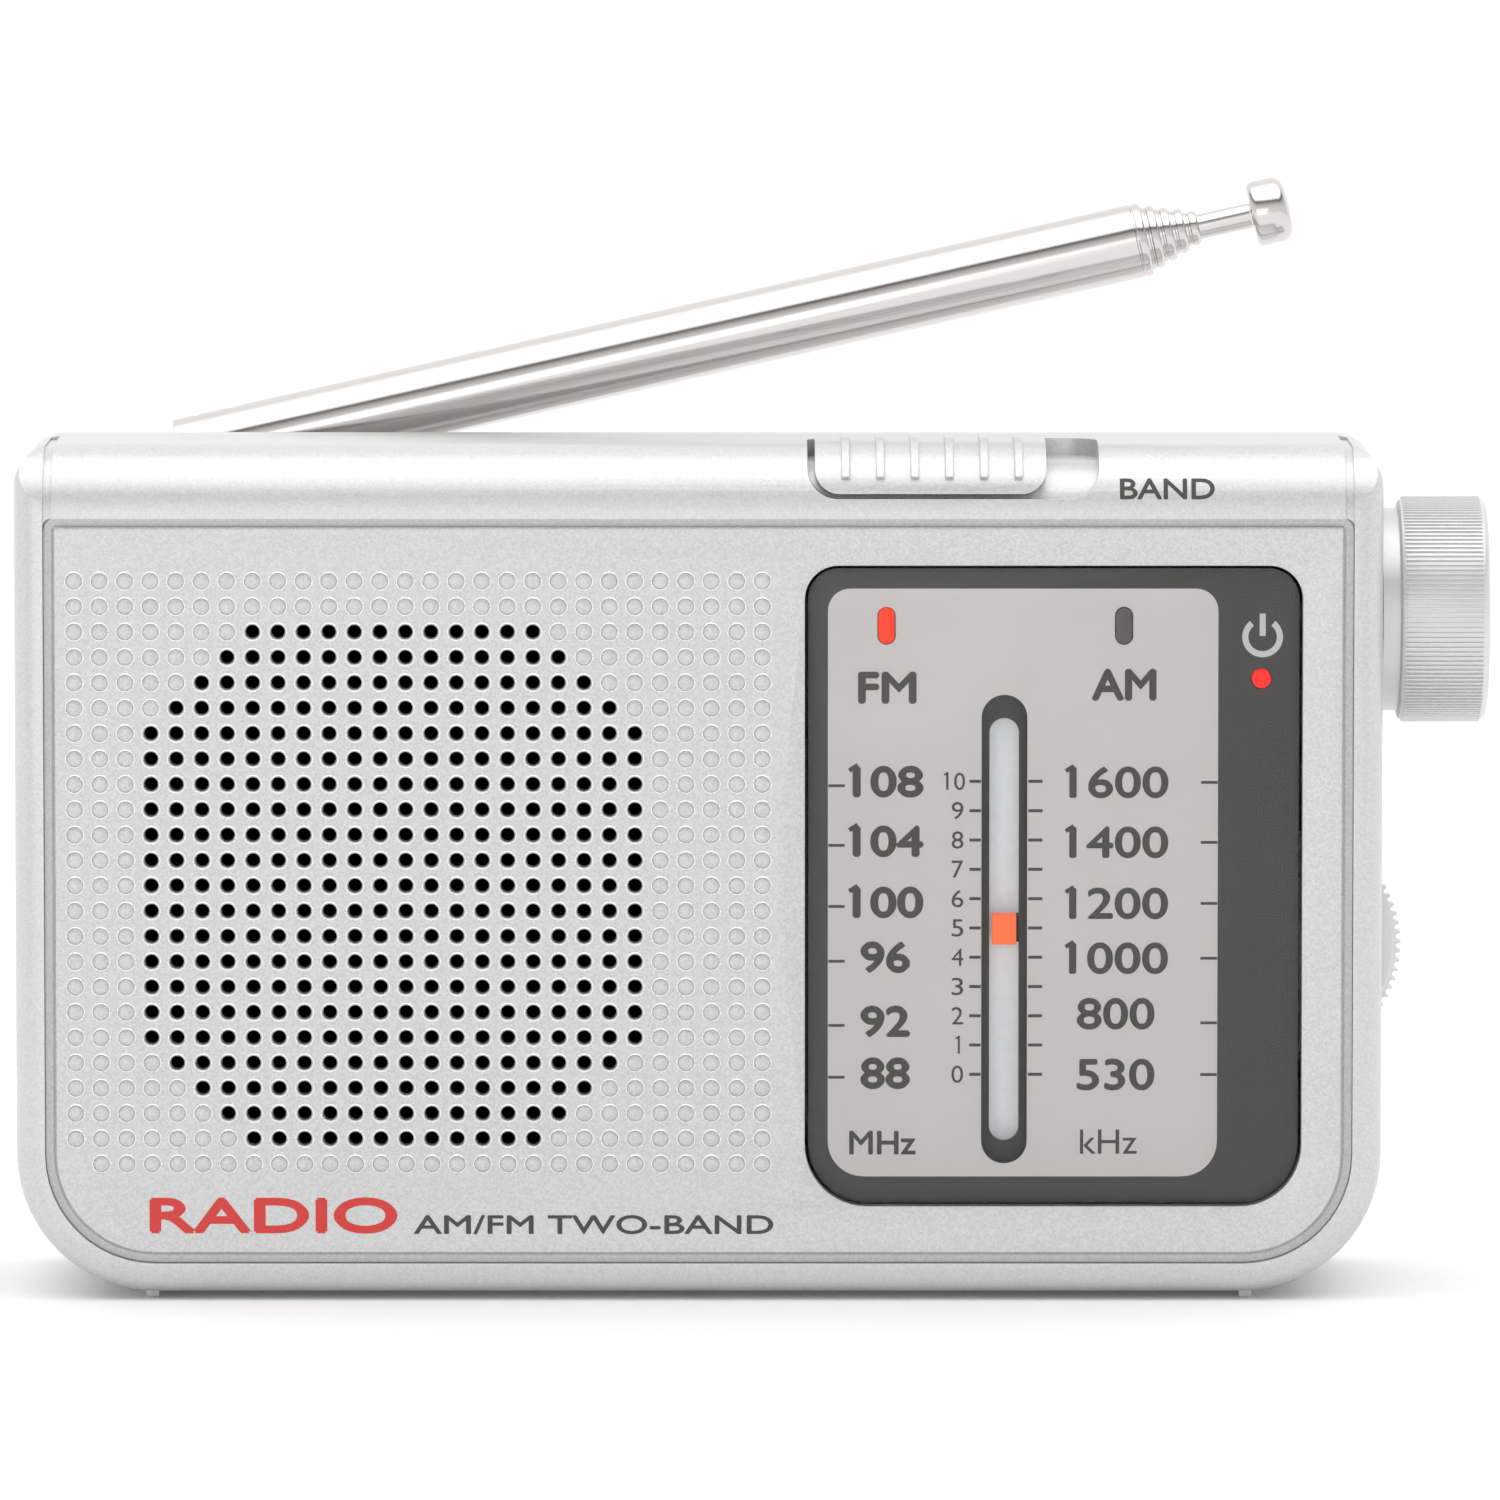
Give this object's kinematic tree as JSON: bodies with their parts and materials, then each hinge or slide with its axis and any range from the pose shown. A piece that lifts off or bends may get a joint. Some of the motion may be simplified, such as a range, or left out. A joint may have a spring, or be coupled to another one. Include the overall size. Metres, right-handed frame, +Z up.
{
  "type": "portable radio",
  "caption": "Portable AM/FM radio in silver plastic: perforated loudspeaker panel, slide-rule dial, side tuning knob, volume wheel, band slider and telescopic antenna.",
  "frame": {"origin": "under the middle of the bounding box, on the surface the radio stands on", "axes": "+X to the right of the front view, towards the tuning knob; +Y from the front to the back; +Z up"},
  "size_m": [0.1456, 0.036, 0.1095],
  "materials": {
    "silver_shell": "satin silver paint on moulded plastic",
    "silver_panel": "satin silver paint, fine metallic flake",
    "silver_control": "satin silver paint on moulded plastic",
    "clear_window": "clear polished plastic",
    "dial_print": "printed warm grey scale with dark border",
    "dark_plastic": "moulded, fine satin",
    "guide_plastic": "moulded, satin",
    "screen_plastic": "moulded, satin",
    "pointer_orange": "bright moulded",
    "lamp_orange": "translucent, lit",
    "lamp_grey": "translucent, unlit",
    "led_red": "translucent, lit",
    "nickel_tube": "bright drawn nickel plate",
    "bright_steel": "zinc plated",
    "cream_nylon": "moulded nylon",
    "cord_thread": "waxed braided thread",
    "cone_paper": "pressed black paper",
    "ferrite_grey": "sintered",
    "coil_copper": "enamelled copper wire",
    "board_green": "solder mask",
    "chip_black": "moulded epoxy",
    "sleeve_blue": "shrink sleeve",
    "cell_label": "plain blue label with plated ends"
  },
  "bodies": {
    "case": {"front_case": "silver_shell", "rear_case": "silver_shell", "front_panel": "silver_panel", "dial_window": "clear_window", "dial_plate": "dial_print", "shaft_bush": "dark_plastic", "antenna_socket": "dark_plastic", "earphone_jack": "dark_plastic", "pointer_guide": "guide_plastic", "slot_screen": "screen_plastic", "fm_lamp": "lamp_orange", "am_lamp": "lamp_grey", "power_led": "led_red", "case_screw_1": "bright_steel", "case_screw_2": "bright_steel", "case_screw_3": "bright_steel", "case_screw_4": "bright_steel", "guide_rod": "bright_steel", "pulley_bracket": "bright_steel", "band_switch_body": "bright_steel", "volume_pot": "bright_steel", "speaker_basket": "bright_steel", "speaker_back_plate": "bright_steel", "coil_can": "bright_steel", "contact_spring_1": "bright_steel", "contact_spring_2": "bright_steel", "link_plate": "bright_steel", "terminal_plate": "bright_steel", "tuning_capacitor": "cream_nylon", "dial_cord": "cord_thread", "speaker_cone": "cone_paper", "speaker_dust_cap": "cone_paper", "speaker_magnet": "ferrite_grey", "ferrite_rod": "ferrite_grey", "ferrite_coil": "coil_copper", "main_board": "board_green", "radio_chip": "chip_black", "filter_capacitor": "sleeve_blue", "battery_1": "cell_label", "battery_2": "cell_label"},
    "tuning": {"tuning_knob": "silver_control", "tuning_shaft": "bright_steel", "cord_drum": "cream_nylon"},
    "dial_pointer": {"pointer": "pointer_orange", "pointer_carriage": "dark_plastic"},
    "lower_pulley": {"cord_pulley": "cream_nylon"},
    "volume": {"volume_wheel": "silver_control", "wheel_screw": "bright_steel"},
    "band": {"band_knob": "silver_control"},
    "door": {"battery_door": "silver_shell"},
    "antenna_turret": {"antenna_fork": "nickel_tube", "antenna_pin": "bright_steel"},
    "antenna_arm": {"antenna_plug": "nickel_tube", "antenna_barrel": "nickel_tube"},
    "antenna_section_1": {"antenna_tube_1": "nickel_tube"},
    "antenna_section_2": {"antenna_tube_2": "nickel_tube"},
    "antenna_section_3": {"antenna_tube_3": "nickel_tube"},
    "antenna_section_4": {"antenna_tube_4": "nickel_tube"},
    "antenna_section_5": {"antenna_rod": "nickel_tube", "antenna_tip": "nickel_tube"}
  },
  "joints": [
    {"name": "tuning_turn", "type": "hinge", "parent": "case", "child": "tuning", "pos_m": [0.03447, 0, 0.067], "axis": [1, 0, 0], "range_deg": [-98, 98]},
    {"name": "pointer_slide", "type": "slide", "parent": "case", "child": "dial_pointer", "axis": [0, 0, 1], "range_m": [-0.01445, 0.01445]},
    {"name": "pulley_turn", "type": "hinge", "parent": "case", "child": "lower_pulley", "pos_m": [0.03447, -0.0048, 0.012], "axis": [1, 0, 0], "range_deg": [-229, 229]},
    {"name": "volume_turn", "type": "hinge", "parent": "case", "child": "volume", "pos_m": [0.05212, -0.0075, 0.0344], "axis": [0, 1, 0], "range_deg": [-130, 130]},
    {"name": "band_slide", "type": "slide", "parent": "case", "child": "band", "axis": [1, 0, 0], "range_m": [0, 0.0045]},
    {"name": "door_hinge", "type": "hinge", "parent": "case", "child": "door", "pos_m": [-0.03637, 0.018, 0.0049], "axis": [-1, 0, 0], "range_deg": [0, 90]},
    {"name": "antenna_swivel", "type": "hinge", "parent": "case", "child": "antenna_turret", "pos_m": [-0.06193, 0.0125, 0.0804], "axis": [0, 0, 1], "range_deg": [0, 180]},
    {"name": "antenna_lift", "type": "hinge", "parent": "antenna_turret", "child": "antenna_arm", "pos_m": [-0.06193, 0.0125, 0.0804], "axis": [0, -1, 0], "range_deg": [-12.7, 77.3]},
    {"name": "antenna_pull_1", "type": "slide", "parent": "antenna_arm", "child": "antenna_section_1", "axis": [0.9755, 0, 0.2198], "range_m": [0, 0.08]},
    {"name": "antenna_pull_2", "type": "slide", "parent": "antenna_section_1", "child": "antenna_section_2", "axis": [0.9755, 0, 0.2198], "range_m": [0, 0.08]},
    {"name": "antenna_pull_3", "type": "slide", "parent": "antenna_section_2", "child": "antenna_section_3", "axis": [0.9755, 0, 0.2198], "range_m": [0, 0.08]},
    {"name": "antenna_pull_4", "type": "slide", "parent": "antenna_section_3", "child": "antenna_section_4", "axis": [0.9755, 0, 0.2198], "range_m": [0, 0.08]},
    {"name": "antenna_pull_5", "type": "slide", "parent": "antenna_section_4", "child": "antenna_section_5", "axis": [0.9755, 0, 0.2198], "range_m": [-0.005, 0.08]}
  ],
  "couplings": [
    {"joint": "pointer_slide", "follows": "tuning_turn", "m_per_rad": -0.0084},
    {"joint": "pulley_turn", "follows": "tuning_turn", "ratio": 2.3333}
  ]
}
